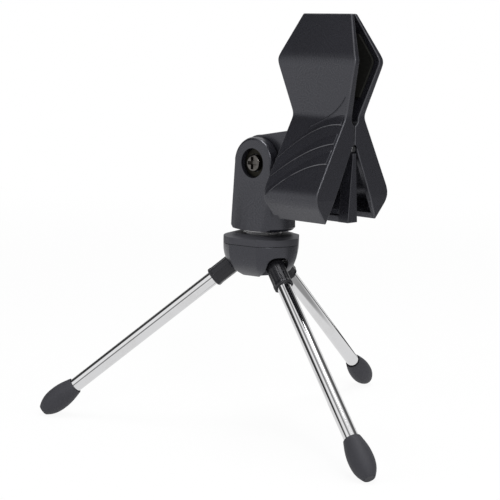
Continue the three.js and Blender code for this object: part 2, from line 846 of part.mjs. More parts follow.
function clipSpine() {
  const top = jawPinHeight - spineHead;
  const gateFace = -wallBack - runGap / 2;
  const postBack = bodyFront - postLength;
  const rise = Math.tan(tongueSlopeDeg * degrees);
  const reach = tongueReach;
  const tongueTop = (forward) => reach + (forward + clipForward) * rise;
  const heel = spineHeel - clipForward;
  const tongue = new THREE.Shape();
  tongue.moveTo(-clipForward, -reach);
  tongue.absarc(-clipForward, 0, reach, -Math.PI / 2, Math.PI / 2, true);
  tongue.lineTo(gateFace, tongueTop(gateFace));
  tongue.lineTo(gateFace, top);
  tongue.lineTo(bodyFront, top);
  tongue.lineTo(bodyFront, -spineDrop);
  tongue.lineTo(heel, -spineDrop);
  tongue.lineTo(heel, -spineDrop + heelHeight);
  tongue.lineTo(-bodyFront - handleWall, -tongueUnder);
  tongue.lineTo(-clipForward + reach, -tongueUnder);
  tongue.closePath();
  const window = outline([
    [rearPostFront, -spineDrop + spineBar],
    [postBack, -spineDrop + spineBar],
    [postBack, top - spineHeadBar],
    [rearPostFront, top - spineHeadBar],
  ]);
  const plate = cut(
    solid(fromSide(tongue, tongueHalf, { curveSegments: 20 })),
    solid(fromSide(window, clipReach)),
  );
  // the post's front is a wedge that the handles close on
  const wedge = outline([
    [-postFootHalf, -spineDrop],
    [postFootHalf, -spineDrop],
    [postTopHalf, top],
    [-postTopHalf, top],
  ]);
  const post = solid(fromFront(wedge, postBack, bodyFront));
  const lip = solid(box(
    -postTopHalf, postTopHalf, -bodyFront, -leftKnuckle[1] - runGap, top - past, jawPinHeight - jawPinRadius - seatGap,
  ));
  const frontRoom = solid(box(-clipReach, clipReach, -bodyFront - past, -postBack, -clipReach, top + past));
  const trimmed = cut(plate, frontRoom);
  const knuckles = [spineKnuckle, spineKnuckle.map((at) => -at).reverse()].flatMap(([from, to]) => [
    solid(rodForward(knuckleRadius, from, to, 20).translate(0, 0, jawPinHeight)),
    solid(fromFront(outline([
      [-tongueHalf, top - past],
      [tongueHalf, top - past],
      [tongueHalf, jawPinHeight],
      [-tongueHalf, jawPinHeight],
    ]), from, to)),
  ]);
  const whole = cut(join(trimmed, post, lip, ...knuckles), pinRoom(jawPinRadius + seatGap / 2));
  const tiltRoom = solid(rodX(tiltScrewRadius + runGap, -clipReach, clipReach).translate(0, clipForward, 0));
  return geometryOf(cut(whole, tiltRoom));
}

function jawPin() {
  return rodForward(jawPinRadius, -bodyFront + jawPinSunk, bodyFront - jawPinSunk, 20).translate(0, 0, jawPinHeight);
}

class TorsionSpring extends THREE.Curve {
  // one wire: a straight leg, the turns round the pin and the other straight leg
  constructor() {
    super();
    const far = Math.hypot(springLegReach, springLegDrop);
    const down = -Math.atan2(springLegDrop, springLegReach);
    this.start = down + Math.acos(springRadius / far);
    this.turn = 2 * Math.PI * springTurns + (Math.PI - 2 * this.start);
    this.legLength = Math.sqrt(far * far - springRadius * springRadius);
    this.coilLength = springRadius * this.turn;
    this.half = (springPitch * this.turn) / (4 * Math.PI);
  }

  getPoint(t) {
    const total = 2 * this.legLength + this.coilLength;
    const run = t * total;
    const angleAt = THREE.MathUtils.clamp((run - this.legLength) / this.coilLength, 0, 1);
    const angle = this.start + angleAt * this.turn;
    const forward = THREE.MathUtils.lerp(-this.half, this.half, angleAt);
    const point = new THREE.Vector3(springRadius * Math.cos(angle), -forward, springRadius * Math.sin(angle));
    const tangent = new THREE.Vector3(-Math.sin(angle), 0, Math.cos(angle));
    const before = Math.min(run - this.legLength, 0);
    const after = Math.max(run - this.legLength - this.coilLength, 0);
    return point.addScaledVector(tangent, before + after).add(new THREE.Vector3(0, 0, jawPinHeight));
  }

  // least distance between the wire's surfaces one turn or more apart
  leastGap() {
    const count = 400;
    const turnShare = 0.6;
    const points = this.getSpacedPoints(count);
    const step = this.getLength() / count;
    const apart = Math.ceil((turnShare * 2 * Math.PI * springRadius) / step);
    let least = Infinity;
    points.forEach((a, i) => points.slice(i + apart).forEach((b) => {
      least = Math.min(least, a.distanceTo(b));
    }));
    return least - 2 * springWire;
  }
}

function jawSpring() {
  const path = new TorsionSpring();
  console.log(`jaw_spring: least gap between turns ${path.leastGap().toFixed(2)} mm`);
  const section = new THREE.Shape();
  section.absarc(0, 0, springWire, 0, 2 * Math.PI, false);
  const steps = Math.round((springStepsPerTurn * path.getLength()) / (2 * Math.PI * springRadius));
  return new THREE.ExtrudeGeometry(new THREE.Shape(section.getPoints(springSides).slice(0, springSides)), {
    steps,
    extrudePath: path,
    bevelEnabled: false,
  });
}

// ---- assembly -----------------------------------------------------------------------------------------------------

const hub = new THREE.Group();
hub.position.z = pivotHeight;
hub.rotation.z = hubTurnDeg * degrees;
hub.add(
  node('hub_body', hubBody(), blackPlastic),
  node('hub_cap', hubCap(), blackPlastic),
  node('threaded_stud', threadedStud(), steel),
  node('hub_screw', hubScrew(), steel),
);

eachLeg((angle, number) => {
  const arm = new THREE.Group();
  arm.rotation.z = angle * degrees;
  const leg = new THREE.Group();
  leg.position.x = legPivotRadius;
  leg.rotation.y = slope;
  leg.add(
    node(`leg_collar_${number}`, legCollar(), glossBlack),
    node(`leg_tube_${number}`, legTube(), chrome),
    node(`leg_foot_${number}`, legFoot(), rubber),
    node(`leg_pin_${number}`, legPin(), steel),
  );
  arm.add(leg);
  hub.add(arm);
});

const head = new THREE.Group();
head.position.z = tiltHeight;
head.add(
  node('yoke', yoke(), blackPlastic),
  node('yoke_insert', yokeInsert(), steel),
  node('tilt_screw', tiltScrew(), blackSteel),
  node('tilt_nut', tiltNut(), steel),
);

const clip = new THREE.Group();
clip.position.y = -clipForward;
clip.add(
  node('clip_spine', clipSpine(), blackPlastic),
  node('jaw_left', jaw(-1, leftKnuckle), blackPlastic),
  node('jaw_right', jaw(1, rightKnuckle), blackPlastic),
  node('pad_left', jawPad(-1), padRubber),
  node('pad_right', jawPad(1), padRubber),
  node('jaw_pin', jawPin(), steel),
  node('jaw_spring', jawSpring(), steel),
);
head.add(clip);

const stand = new THREE.Group();
stand.add(hub, head);

export default stand;
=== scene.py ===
import math

import bpy
from mathutils import Matrix, Vector


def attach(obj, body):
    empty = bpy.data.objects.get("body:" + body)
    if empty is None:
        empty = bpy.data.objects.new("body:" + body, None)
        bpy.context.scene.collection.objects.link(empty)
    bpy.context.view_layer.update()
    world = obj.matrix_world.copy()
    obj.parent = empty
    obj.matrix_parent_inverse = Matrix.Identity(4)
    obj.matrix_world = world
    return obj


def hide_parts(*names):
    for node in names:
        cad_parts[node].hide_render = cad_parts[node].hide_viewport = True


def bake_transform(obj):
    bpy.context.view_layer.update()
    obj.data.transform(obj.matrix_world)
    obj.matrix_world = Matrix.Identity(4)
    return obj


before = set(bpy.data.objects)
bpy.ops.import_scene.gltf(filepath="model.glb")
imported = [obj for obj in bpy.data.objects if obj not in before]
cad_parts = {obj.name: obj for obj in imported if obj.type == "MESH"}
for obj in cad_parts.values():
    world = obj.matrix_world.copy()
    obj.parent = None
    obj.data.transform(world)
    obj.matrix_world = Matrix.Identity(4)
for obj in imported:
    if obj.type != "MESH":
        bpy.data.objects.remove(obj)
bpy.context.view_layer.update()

mm = 0.001


# points nearer than this are made one, and faces within these degrees are merged
cleaning = {
    "drawn": 1e-7,
    "spun": 2e-7,
    "solid": 2e-6,
    "solidFlat": 0.6,
    "beforeBevel": 0.012 * mm,
    "sliver": 0.01 * mm,
    "bevelFlat": 0.5,
}


def deselectAll():
    if bpy.context.mode != "OBJECT":
        bpy.ops.object.mode_set(mode="OBJECT")
    bpy.ops.object.select_all(action="DESELECT")


def makeActive(piece):
    deselectAll()
    piece.select_set(True)
    bpy.context.view_layer.objects.active = piece


def named(piece, name):
    piece.name = piece.data.name = name
    return piece


def editWhole(piece):
    makeActive(piece)
    bpy.ops.object.mode_set(mode="EDIT")
    bpy.ops.mesh.select_all(action="SELECT")


def editWhere(piece, test):
    # edit mode with only the vertices that pass the test
    makeActive(piece)
    bpy.ops.object.mode_set(mode="EDIT")
    bpy.ops.mesh.select_all(action="DESELECT")
    bpy.ops.object.mode_set(mode="OBJECT")
    for vertex in piece.data.vertices:
        vertex.select = test(vertex)
    bpy.ops.object.mode_set(mode="EDIT")


def closeEdit():
    # every face turned outwards, then back to object mode
    bpy.ops.mesh.select_all(action="SELECT")
    bpy.ops.mesh.normals_make_consistent(inside=False)
    bpy.ops.object.mode_set(mode="OBJECT")


def drawLine(name, points, closed=True):
    # one vertex is pulled out point by point, as a profile is drawn by hand
    deselectAll()
    bpy.ops.mesh.primitive_plane_add(size=mm, location=(0, 0, 0))
    piece = named(bpy.context.object, name)
    bpy.ops.object.mode_set(mode="EDIT")
    bpy.ops.mesh.merge(type="CENTER")
    places = [Vector(point) for point in points]
    if closed:
        places.append(places[0])
    bpy.ops.transform.translate(value=places[0])
    for here, there in zip(places, places[1:]):
        bpy.ops.mesh.extrude_vertices_move(TRANSFORM_OT_translate={"value": there - here})
    bpy.ops.mesh.select_all(action="SELECT")
    if closed:
        bpy.ops.mesh.remove_doubles(threshold=cleaning["drawn"])
        bpy.ops.mesh.edge_face_add()
    return piece


def pullOut(piece, move):
    # the drawn face is extruded into a closed block
    bpy.ops.mesh.select_all(action="SELECT")
    bpy.ops.mesh.extrude_region_move(TRANSFORM_OT_translate={"value": move})
    closeEdit()
    return piece


def spinLine(name, profile, steps, closed=False):
    # (radius, height) pairs spun about Z
    piece = drawLine(name, [(radius, 0, height) for radius, height in profile], False)
    if closed:
        ends = (0, len(profile) - 1)
        editWhere(piece, lambda vertex: vertex.index in ends)
        bpy.ops.mesh.edge_face_add()
    bpy.ops.mesh.select_all(action="SELECT")
    bpy.ops.mesh.spin(steps=steps, angle=2 * math.pi, center=(0, 0, 0), axis=(0, 0, 1))
    bpy.ops.mesh.select_all(action="SELECT")
    bpy.ops.mesh.remove_doubles(threshold=cleaning["spun"])
    closeEdit()
    return piece


def place(piece, matrix):
    makeActive(piece)
    piece.matrix_world = matrix
    bpy.ops.object.transform_apply(location=True, rotation=True, scale=True)
    return piece


def cutWith(piece, tool, operation="DIFFERENCE"):
    makeActive(piece)
    change = piece.modifiers.new("cut", "BOOLEAN")
    change.operation = operation
    change.solver = "EXACT"
    change.object = tool
    bpy.ops.object.modifier_apply(modifier=change.name)
    bpy.data.objects.remove(tool)
    return piece


def rodAlong(name, radius, start, end, vertices=32):
    start, end = Vector(start), Vector(end)
    deselectAll()
    bpy.ops.mesh.primitive_cylinder_add(
        vertices=vertices, radius=radius, depth=(end - start).length, location=(0, 0, 0))
    turn = (end - start).to_track_quat("Z", "Y").to_matrix().to_4x4()
    return place(named(bpy.context.object, name), Matrix.Translation((start + end) / 2) @ turn)


def chamferedRod(name, radius, half, lip, steps):
    # a pin along Z, with a small chamfer at both ends
    return spinLine(name, [
        (0, -half), (radius - lip, -half), (radius, lip - half),
        (radius, half - lip), (radius - lip, half), (0, half),
    ], steps)


def blockBetween(name, low, high):
    low, high = Vector(low), Vector(high)
    deselectAll()
    bpy.ops.mesh.primitive_cube_add(size=1, location=(low + high) / 2)
    piece = named(bpy.context.object, name)
    piece.scale = high - low
    bpy.ops.object.transform_apply(location=True, rotation=True, scale=True)
    return piece


def giveFinishes(piece, finishes):
    piece.data.materials.clear()
    for finish in finishes:
        piece.data.materials.append(finish)


def softenEdges(piece, width, segments, angle, finishes=()):
    # where two finishes are given, the second is for the edges
    editWhole(piece)
    bpy.ops.mesh.remove_doubles(threshold=cleaning["beforeBevel"])
    bpy.ops.mesh.dissolve_degenerate(threshold=cleaning["sliver"])
    bpy.ops.mesh.dissolve_limited(angle_limit=math.radians(cleaning["bevelFlat"]))
    bpy.ops.object.mode_set(mode="OBJECT")
    change = piece.modifiers.new("soft edges", "BEVEL")
    change.use_clamp_overlap = False
    if finishes:
        giveFinishes(piece, finishes)
        change.material = 1
    change.width = width
    change.segments = segments
    change.limit_method = "ANGLE"
    change.angle_limit = math.radians(angle)
    change.miter_outer = "MITER_ARC"
    bpy.ops.object.modifier_apply(modifier=change.name)
    return piece


def smooth(piece, angle, weighted=True):
    makeActive(piece)
    bpy.ops.object.shade_smooth_by_angle(angle=math.radians(angle))
    if weighted:
        change = piece.modifiers.new("flat faces stay flat", "WEIGHTED_NORMAL")
        change.keep_sharp = True
        bpy.ops.object.modifier_apply(modifier=change.name)
    return piece


def joinPieces(pieces, name):
    deselectAll()
    for piece in pieces:
        piece.select_set(True)
    bpy.context.view_layer.objects.active = pieces[0]
    bpy.ops.object.join()
    return named(pieces[0], name)


def twinOf(piece, name):
    twin = piece.copy()
    twin.data = twin.data.copy()
    bpy.context.scene.collection.objects.link(twin)
    return named(twin, name)


def copyOfSolid(node, name):
    # a solid of the frame with its loose triangles merged into whole faces
    deselectAll()
    piece = twinOf(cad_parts[node], name)
    piece.parent = None
    for key in list(piece.keys()):
        del piece[key]
    piece.data.materials.clear()
    editWhole(piece)
    bpy.ops.mesh.remove_doubles(threshold=cleaning["solid"])
    bpy.ops.mesh.dissolve_limited(angle_limit=math.radians(cleaning["solidFlat"]))
    bpy.ops.object.mode_set(mode="OBJECT")
    return piece


def wireOf(piece, radius):
    # a drawn line becomes a round wire with closed ends
    makeActive(piece)
    bpy.ops.object.convert(target="CURVE")
    wire = bpy.context.object
    wire.data.bevel_depth = radius
    wire.data.bevel_resolution = 4
    wire.data.use_fill_caps = True
    bpy.ops.object.convert(target="MESH")
    return bpy.context.object


def rounded(corners, steps):
    # (x, y) or (x, y, rounding) corners as a run of points
    line = []
    for i, corner in enumerate(corners):
        here = Vector(corner[:2])
        if len(corner) < 3 or not corner[2] or i in (0, len(corners) - 1):
            line.append(here)
            continue
        back = (Vector(corners[i - 1][:2]) - here).normalized()
        ahead = (Vector(corners[i + 1][:2]) - here).normalized()
        reach = corner[2] / math.tan(back.angle(ahead) / 2)
        start, end = here + back * reach, here + ahead * reach
        for k in range(steps + 1):
            t = k / steps
            line.append(start * (1 - t) ** 2 + here * (2 * t * (1 - t)) + end * t ** 2)
    return line


cameraView = {
    "place": (-0.4279, -0.3968, 0.15585),
    "turn": 47.16,  # from the clip's own forward direction to the view
    "pitch": 8.29,
    "yaw": -0.49,
    "roll": 1.22,
    "lens": 106.18,
    "sensor": 36,
    "nearest": 0.01,
}


def makeCamera(view):
    pitch, yaw, roll = (math.radians(view[key]) for key in ("pitch", "yaw", "roll"))
    level = Vector((math.sin(yaw), math.cos(yaw), 0))
    forward = level * math.cos(pitch) - Vector((0, 0, math.sin(pitch)))
    right = Vector((math.cos(yaw), -math.sin(yaw), 0))
    up = right.cross(forward)
    rolledRight = right * math.cos(roll) + up * math.sin(roll)
    rolledUp = up * math.cos(roll) - right * math.sin(roll)
    turn = Matrix.Rotation(math.radians(-view["turn"]), 3, "Z")
    axes = Matrix([turn @ rolledRight, turn @ rolledUp, turn @ -forward]).transposed()
    deselectAll()
    bpy.ops.object.camera_add(location=view["place"])
    camera = bpy.context.object
    camera.matrix_world = Matrix.Translation(view["place"]) @ axes.to_4x4()
    camera.data.lens = view["lens"]
    camera.data.sensor_width = view["sensor"]
    camera.data.clip_start = view["nearest"]
    bpy.context.scene.camera = camera


makeCamera(cameraView)
print("camera set")


def feed(tree, node, sockets):
    # each socket gets a plain value or another node's output
    for socket, value in sockets.items():
        if isinstance(value, bpy.types.NodeSocket):
            tree.links.new(value, node.inputs[socket])
        else:
            node.inputs[socket].default_value = value
    return node


def addNode(tree, kind, sockets, **settings):
    node = tree.nodes.new(kind)
    for key, value in settings.items():
        setattr(node, key, value)
    return feed(tree, node, sockets)


def mathOf(tree, operation, *values):
    return addNode(tree, "ShaderNodeMath", dict(enumerate(values)), operation=operation).outputs["Value"]


def noiseOf(tree, vector, scale, **sockets):
    given = {"Vector": vector, "Scale": scale, **sockets}
    return addNode(tree, "ShaderNodeTexNoise", given).outputs["Fac"]


def mapOf(tree, value, span, ends=(0, 1), **settings):
    # a value that runs from one end to the other while its source runs through a span
    sockets = {"Value": value, "From Min": span[0], "From Max": span[1], "To Min": ends[0], "To Max": ends[1]}
    return addNode(tree, "ShaderNodeMapRange", sockets, **settings).outputs["Result"]


def newGroup(name, scales, outputs):
    # a group's tree, and the sockets that it is given
    group = bpy.data.node_groups.new(name, "ShaderNodeTree")
    group.interface.new_socket(name="Vector", in_out="INPUT", socket_type="NodeSocketVector")
    for key, value in scales.items():
        made = group.interface.new_socket(name=key, in_out="INPUT", socket_type="NodeSocketFloat")
        made.default_value = value
    for key in outputs:
        group.interface.new_socket(name=key, in_out="OUTPUT", socket_type="NodeSocketFloat")
    return group, addNode(group, "NodeGroupInput", {}).outputs


def buildMouldGrain():
    # fine spark-eroded grain of a moulding, with a slow unevenness under it
    scales, outputs = {"Grain Scale": 6000, "Swell Scale": 60}, ("Height", "Grain", "Swell")
    group, given = newGroup("mouldGrain", scales, outputs)
    grain = noiseOf(group, given["Vector"], given["Grain Scale"], Detail=3, Roughness=0.6)
    swell = noiseOf(group, given["Vector"], given["Swell Scale"], Detail=2)
    swellShare = 0.35  # of the relief
    height = mathOf(group, "MULTIPLY_ADD", swell, swellShare, grain)
    addNode(group, "NodeGroupOutput", {"Height": height, "Grain": grain, "Swell": swell})
    return group


def buildFineScuffs():
    # fine scuffs that lie in patches
    group, given = newGroup("fineScuffs", {"Scale": 900, "Amount": 0.5}, ("Mask",))
    scuffs = noiseOf(group, given["Vector"], given["Scale"], Detail=4)
    patchScale, shown = 90, (0.22, 0.42)
    patches = noiseOf(group, given["Vector"], patchScale)
    mask = mapOf(group, mathOf(group, "MULTIPLY", scuffs, patches), shown)
    addNode(group, "NodeGroupOutput", {"Mask": mathOf(group, "MULTIPLY", mask, given["Amount"])})
    return group


# each pattern: its group, which outputs drive tone, roughness and relief, the span of the output that turns
# into roughness, and the relief's depth
mouldGrain = {
    "group": buildMouldGrain(),
    "outputs": ("Swell", "Grain", "Height"),
    "span": (0.25, 0.75),
    "depth": 0.02 * mm,
}
fineScuffs = {
    "group": buildFineScuffs(),
    "outputs": ("Mask", "Mask", "Mask"),
    "span": (0, 1),
    "depth": 0.01 * mm,
}


def makeFinish(name, pattern, scales, look, ends):
    # two tones, rougher and smoother places and a fine relief, all from one pattern
    material = bpy.data.materials.new(name)
    material.use_nodes = True
    tree = material.node_tree
    shader = tree.nodes["Principled BSDF"]
    where = addNode(tree, "ShaderNodeTexCoord", {}).outputs["Object"]
    group = addNode(tree, "ShaderNodeGroup", {"Vector": where, **scales}, node_tree=pattern["group"])
    toneMask, roughMask, relief = (group.outputs[key] for key in pattern["outputs"])
    first, second = ((*color, 1) for color in look["tones"])
    tone = addNode(tree, "ShaderNodeMix", {"A": first, "B": second, "Factor": toneMask}, data_type="RGBA")
    bump = addNode(tree, "ShaderNodeBump", {
        "Strength": look["bump"], "Distance": pattern["depth"], "Height": relief,
    })
    shader.inputs["Roughness"].default_value = look["roughness"]
    feed(tree, shader, {
        "Base Color": tone.outputs["Result"],
        "Roughness": mapOf(tree, roughMask, pattern["span"], ends),
        "Normal": bump.outputs["Normal"],
    })
    return material, tree, shader


def mouldedFinish(name, look):
    rough, spread = look["roughness"], look["roughSpread"]
    scales = {"Grain Scale": look["grainScale"], "Swell Scale": look["swellScale"]}
    material, tree, shader = makeFinish(name, mouldGrain, scales, look, (rough - spread, rough + spread))
    feed(tree, shader, {"Specular IOR Level": look["specular"], "Specular Tint": (*look["tint"], 1)})
    return material


def platedFinish(name, look):
    rough = look["roughness"]
    scales = {"Scale": look["scale"], "Amount": look["amount"]}
    material, tree, shader = makeFinish(name, fineScuffs, scales, look, (rough, rough + look["roughSpread"]))
    feed(tree, shader, {"Metallic": 1.0})
    return material


# the satin plastic, which the other mouldings share apart from what they name
charcoal = {
    "tones": ((0.0095, 0.0095, 0.0125), (0.013, 0.013, 0.017)), "roughness": 0.28, "roughSpread": 0.06,
    "specular": 0.7, "tint": (0.9, 0.91, 1.0), "grainScale": 3000, "swellScale": 70, "bump": 0.8,
}
charcoalMoulding = mouldedFinish("charcoalMoulding", charcoal)
# paler edges of the clip's plastic: partly wear, partly a painted highlight for the light its rounded rims
# catch
edgeWearAndHighlight = mouldedFinish("edgeWearAndHighlight", {
    **charcoal, "tones": ((0.012, 0.012, 0.015), (0.06, 0.06, 0.066)),
    "specular": 0.6, "swellScale": 350, "bump": 0.4,
})
# pale lips and steps of the grip bands: a painted highlight line along each edge, with some wear
lipHighlightAndWear = mouldedFinish("lipHighlightAndWear", {
    **charcoal, "tones": ((0.05, 0.05, 0.055), (0.15, 0.15, 0.16)),
    "roughness": 0.26, "swellScale": 350, "bump": 0.4,
})
# the hub cap's paler, rougher copy of the charcoal plastic: the paler tone is painted light that lifts the
# shade under the yoke's base
capPaintedLight = mouldedFinish("capPaintedLight", {
    **charcoal, "tones": ((0.022, 0.022, 0.026), (0.03, 0.03, 0.035)), "roughness": 0.5, "specular": 0.6,
})
glossyCollar = mouldedFinish("glossyCollar", {
    "tones": ((0.008, 0.008, 0.01), (0.012, 0.012, 0.014)), "roughness": 0.27, "roughSpread": 0.03,
    "specular": 0.4, "tint": (0.95, 0.95, 1.0), "grainScale": 3500, "swellScale": 160, "bump": 0.0,
})
footRubber = mouldedFinish("footRubber", {
    "tones": ((0.026, 0.026, 0.031), (0.036, 0.036, 0.042)), "roughness": 0.62, "roughSpread": 0.1,
    "specular": 0.4, "tint": (0.95, 0.95, 1.0), "grainScale": 4200, "swellScale": 120, "bump": 0.6,
})
padRubber = mouldedFinish("padRubber", {
    "tones": ((0.006, 0.006, 0.0055), (0.01, 0.01, 0.009)), "roughness": 0.6, "roughSpread": 0.08,
    "specular": 0.25, "tint": (1.0, 1.0, 0.93), "grainScale": 3000, "swellScale": 200, "bump": 0.5,
})
legChrome = platedFinish("legChrome", {
    "tones": ((0.74, 0.74, 0.75), (0.62, 0.61, 0.6)), "roughness": 0.05, "roughSpread": 0.1,
    "scale": 1400, "amount": 0.35, "bump": 0.08,
})
turnedSteel = platedFinish("turnedSteel", {
    "tones": ((0.6, 0.6, 0.61), (0.36, 0.35, 0.34)), "roughness": 0.2, "roughSpread": 0.2,
    "scale": 1800, "amount": 0.7, "bump": 0.3,
})
blackenedSteel = platedFinish("blackenedSteel", {
    "tones": ((0.13, 0.123, 0.116), (0.04, 0.036, 0.032)), "roughness": 0.24, "roughSpread": 0.15,
    "scale": 900, "amount": 0.8, "bump": 0.4,
})
# near-black metal for the ring round the screw's head, painted shade in its counterbore
shadeRingBlack = platedFinish("shadeRingBlack", {
    "tones": ((0.022, 0.021, 0.017), (0.008, 0.008, 0.007)), "roughness": 0.4, "roughSpread": 0.15,
    "scale": 900, "amount": 0.8, "bump": 0.4,
})
dullSteel = platedFinish("dullSteel", {
    "tones": ((0.13, 0.13, 0.135), (0.05, 0.05, 0.05)), "roughness": 0.28, "roughSpread": 0.15,
    "scale": 1500, "amount": 0.8, "bump": 0.3,
})
# the clip's faces, and its edges in the paler tone of painted highlight and wear
facesWithWornHighlitEdges = (charcoalMoulding, edgeWearAndHighlight)  # faces and edges of the clip's plastic


def dress(piece, material, body, slot, *nodes):
    # finish, ride and stand for the solids it is made over
    if len(piece.data.materials) < 2:
        giveFinishes(piece, [material])
    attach(piece, body)
    if nodes:
        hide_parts(*nodes)
    return piece


print("finishes made")

white = (1, 1, 1, 1)
studio = {
    "floorSize": 6.0,
    "floorParts": 12,
    "floorColor": (0.9, 0.9, 0.9, 1),
    "floorRoughness": 0.8,
    "floorSpecular": 0.1,
    "floorGlow": (0.92, 1.0),  # how much of the white the camera sees, near the stand and far from it
    "floorFade": (0.3, 0.9),
    "worldStrength": 0.5,
    # what gloss sees: a pale floor and a white room with dark places in it, each as (direction, cosines
    # from its rim to its middle, how dark)
    "nearFloor": 0.88,
    "nearDark": (((0.76, -0.65, 0), (0.9, 0.975), 0.6),),
    "nearFade": (0.35, 0.65),
    "floorDark": (((0.743, 0.669, 0), (0.35, 0.8), 0.95), ((0.9, -0.436, 0), (0.5, 0.93), 0.8)),
    "room": 1.0,
    "roomDark": (
        ((-0.235, 0.875, 0.423), (0.835, 0.88), 0.95),
        ((0.698, -0.174, 0.695), (0.848, 0.978), 0.88),
        ((0.741, 0.667, 0.08), (0.88, 0.98), 0.6),
        ((0.863, -0.498, 0.087), (0.78, 0.95), 0.8),
        ((-0.538, 0.154, 0.829), (0.974, 0.995), 0.7),
        ((-0.963, -0.24, 0.122), (0.974, 0.995), 0.75),
    ),
}


def vectorOf(tree, operation, sockets, output):
    return addNode(tree, "ShaderNodeVectorMath", sockets, operation=operation).outputs[output]


def softMap(tree, value, span, ends):
    return mapOf(tree, value, span, ends, interpolation_type="SMOOTHSTEP")


def darkened(tree, direction, whole, places):
    # a brightness that sinks towards each dark place
    strength = whole
    for middle, cosines, share in places:
        towards = vectorOf(tree, "DOT_PRODUCT", {0: direction, 1: middle}, "Value")
        strength = mathOf(tree, "MULTIPLY", strength, softMap(tree, towards, cosines, (1, 1 - share)))
    return strength


def mixShaders(tree, share, first, second):
    return addNode(tree, "ShaderNodeMixShader", {"Fac": share, 1: first, 2: second}).outputs["Shader"]


def makeFloor(look):
    # white towards the horizon, and nearer the stand plain enough to hold its shadow
    deselectAll()
    parts = look["floorParts"]
    bpy.ops.mesh.primitive_grid_add(
        x_subdivisions=parts, y_subdivisions=parts, size=look["floorSize"], location=(0, 0, 0))
    floor = named(bpy.context.object, "paleFloor")
    material = bpy.data.materials.new("paleFloor")
    material.use_nodes = True
    tree = material.node_tree
    shader = feed(tree, tree.nodes["Principled BSDF"], {
        "Base Color": look["floorColor"],
        "Roughness": look["floorRoughness"],
        "Specular IOR Level": look["floorSpecular"],
    })
    path = addNode(tree, "ShaderNodeLightPath", {}).outputs
    where = addNode(tree, "ShaderNodeTexCoord", {}).outputs["Object"]
    away = vectorOf(tree, "LENGTH", {0: where}, "Value")
    outward = vectorOf(tree, "NORMALIZE", {0: where}, "Vector")
    # the camera sees the lit floor, with more and more white further out
    glow = addNode(tree, "ShaderNodeEmission", {"Color": white}).outputs["Emission"]
    share = softMap(tree, away, look["floorFade"], look["floorGlow"])
    share = mathOf(tree, "MULTIPLY", share, path["Is Camera Ray"])
    seen = mixShaders(tree, share, shader.outputs["BSDF"], glow)
    # gloss sees an even glow with its dark places
    blend = addNode(tree, "ShaderNodeMix", {
        "A": darkened(tree, outward, look["nearFloor"], look["nearDark"]),
        "B": darkened(tree, outward, look["room"], look["floorDark"]),
        "Factor": softMap(tree, away, look["nearFade"], (0, 1)),
    })
    sheen = addNode(tree, "ShaderNodeEmission", {"Color": white, "Strength": blend.outputs["Result"]})
    both = mixShaders(tree, path["Is Glossy Ray"], seen, sheen.outputs["Emission"])
    feed(tree, tree.nodes["Material Output"], {"Surface": both})
    floor.data.materials.append(material)


def makeWorld(look):
    # even light, white to the camera, and for gloss a white room with dark places
    world = bpy.data.worlds.new("studio")
    world.use_nodes = True
    tree = world.node_tree
    plain = feed(tree, tree.nodes["Background"], {"Color": white, "Strength": look["worldStrength"]})
    seen = addNode(tree, "ShaderNodeBackground", {"Color": white})
    direction = addNode(tree, "ShaderNodeTexCoord", {}).outputs["Generated"]
    gloss = addNode(tree, "ShaderNodeBackground", {
        "Color": white, "Strength": darkened(tree, direction, look["room"], look["roomDark"]),
    })
    path = addNode(tree, "ShaderNodeLightPath", {}).outputs
    lit, mirrored, shown = (node.outputs["Background"] for node in (plain, gloss, seen))
    unseen = mixShaders(tree, path["Is Glossy Ray"], lit, mirrored)
    whole = mixShaders(tree, path["Is Camera Ray"], unseen, shown)
    feed(tree, tree.nodes["World Output"], {"Surface": whole})
    bpy.context.scene.world = world


# each lamp: place, what it is aimed at, size, watts, and whether gloss sees it
softLamps = {
    "overhead": ((0.06, -0.02, 0.95), (0, -0.02, 0.1), (0.4, 0.4), 3.4, True),
    "besideCamera": ((-0.37, -0.65, 0.59), (0, -0.02, 0.12), (0.22, 0.22), 2.0, True),
    "front": ((0.3, -0.8, 0.5), (0, -0.02, 0.1), (0.5, 0.4), 1.6, False),
    "side": ((-0.7, 0.3, 0.3), (0, -0.02, 0.1), (0.4, 0.4), 1.2, False),
}


def makeLamps(lamps):
    for name, (spot, target, size, watts, inGloss) in lamps.items():
        deselectAll()
        bpy.ops.object.light_add(type="AREA", location=spot)
        light = bpy.context.object
        light.name = name
        light.data.shape = "RECTANGLE"
        light.data.size, light.data.size_y = size
        light.data.energy = watts
        light.visible_camera = False
        light.visible_glossy = inGloss
        light.rotation_euler = (Vector(target) - Vector(spot)).to_track_quat("-Z", "Y").to_euler()


makeFloor(studio)
makeWorld(studio)
makeLamps(softLamps)
bpy.context.scene.view_settings.view_transform = "Standard"
print("floor, world and lamps set")


# each leg piece is made along Z from its pivot, then laid down its slope
legs = {
    "azimuths": (249.4, 9.4, 129.4),
    "slope": 39.7,
    "pivotRadius": 9 * mm,
    "pivotHeight": 67.805 * mm,
}


def legMatrix(look, azimuth):
    turn, slope = math.radians(azimuth), math.radians(look["slope"])
    out = Vector((math.cos(turn), math.sin(turn), 0))
    along = out * math.cos(slope) - Vector((0, 0, math.sin(slope)))
    across = Vector((-math.sin(turn), math.cos(turn), 0))
    start = out * look["pivotRadius"] + Vector((0, 0, look["pivotHeight"]))
    return Matrix.Translation(start) @ Matrix([across.cross(along), across, along]).transposed().to_4x4()


tube = {"radius": 2.85 * mm, "wall": 0.5 * mm, "from": 5.6 * mm, "to": 95.4 * mm, "lip": 0.15 * mm}


def makeTube(look):
    outer, low, high, lip = look["radius"], look["from"], look["to"], look["lip"]
    inner = outer - look["wall"]
    return smooth(spinLine("legTube", [
        (inner, low), (outer - lip, low), (outer, low + lip),
        (outer, high - lip), (outer - lip, high), (inner, high),
    ], steps=64, closed=True), angle=40)


